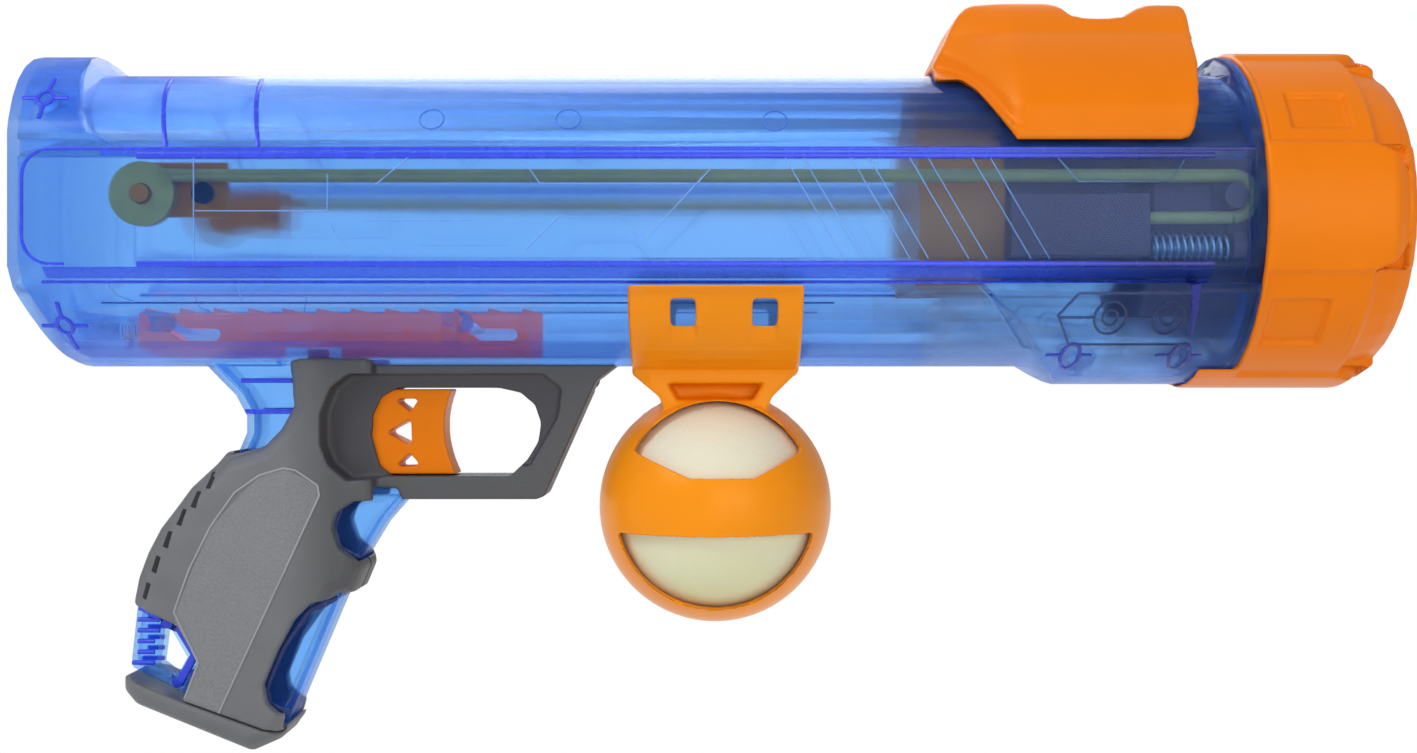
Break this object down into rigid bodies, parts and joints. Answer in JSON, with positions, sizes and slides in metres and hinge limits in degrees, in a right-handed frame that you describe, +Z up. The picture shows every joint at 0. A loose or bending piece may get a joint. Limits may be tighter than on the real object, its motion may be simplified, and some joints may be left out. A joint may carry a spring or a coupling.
{
  "type": "dog tennis ball launcher",
  "caption": "Hand-held dog tennis ball launcher: clear blue barrel with pistol grip, orange cocking handle and muzzle collar, elastic bands inside, and a spare ball in a clip-on holder.",
  "frame": {"origin": "where the hand holds it: the centre of the grip, on the middle plane", "axes": "+X along the barrel towards the muzzle, +Z up, +Y to the launcher's left-hand side"},
  "size_m": [0.3915, 0.0992, 0.219],
  "materials": {
    "clear_blue": "gloss",
    "grip_grey": "matte",
    "orange": "satin",
    "dark_grey": "satin",
    "latex": "satin",
    "steel": "satin",
    "black_screw": "satin",
    "felt": "matte"
  },
  "bodies": {
    "root": {"casing_right": "clear_blue", "casing_left": "clear_blue", "grip_cover_right": "grip_grey", "grip_cover_left": "grip_grey", "butt_cap": "grip_grey", "muzzle_collar": "orange", "muzzle_sleeve": "dark_grey", "ratchet_spring": "steel", "trigger_spring": "steel", "band_hub_right": "orange", "band_hub_left": "orange", "band_hub_screw_right": "black_screw", "band_hub_screw_left": "black_screw", "band_guide_right": "dark_grey", "band_guide_left": "dark_grey", "elastic_band_right": "latex", "elastic_band_left": "latex", "elastic_band_pull_right": "latex", "elastic_band_pull_left": "latex", "buffer_spring_right": "steel", "buffer_spring_left": "steel", "ball_holder": "orange", "casing_screw_1": "steel", "casing_screw_2": "steel", "casing_screw_3": "steel", "casing_screw_4": "steel", "grip_screw_1": "black_screw", "grip_screw_2": "black_screw", "guard_screw": "black_screw"},
    "sled": {"sled_carriage": "orange", "ball_cup": "dark_grey", "cocking_handle": "orange", "handle_screw_1": "steel", "handle_screw_2": "steel", "cup_screw": "steel"},
    "ratchet": {"ratchet_bar": "orange"},
    "trigger": {"trigger": "orange"},
    "ball": {"tennis_ball": "felt"}
  },
  "joints": [
    {"name": "cocking_slide", "type": "slide", "parent": "root", "child": "sled", "axis": [-1, 0, 0], "range_m": [0, 0.215], "stiffness_N_per_m": 300, "deforming": ["elastic_band_pull_right", "elastic_band_pull_left"]},
    {"name": "trigger_pull", "type": "slide", "parent": "root", "child": "trigger", "axis": [-1, 0, 0], "range_m": [0, 0.008], "stiffness_N_per_m": 400, "deforming": ["trigger_spring"]},
    {"name": "ratchet_lift", "type": "slide", "parent": "root", "child": "ratchet", "axis": [-0.8137, 0, 0.5813], "range_m": [0, 0.006], "stiffness_N_per_m": 150, "deforming": ["ratchet_spring"]},
    {"name": "ball_out", "type": "slide", "parent": "root", "child": "ball", "axis": [0, 1, 0], "range_m": [0, 0.078]}
  ]
}
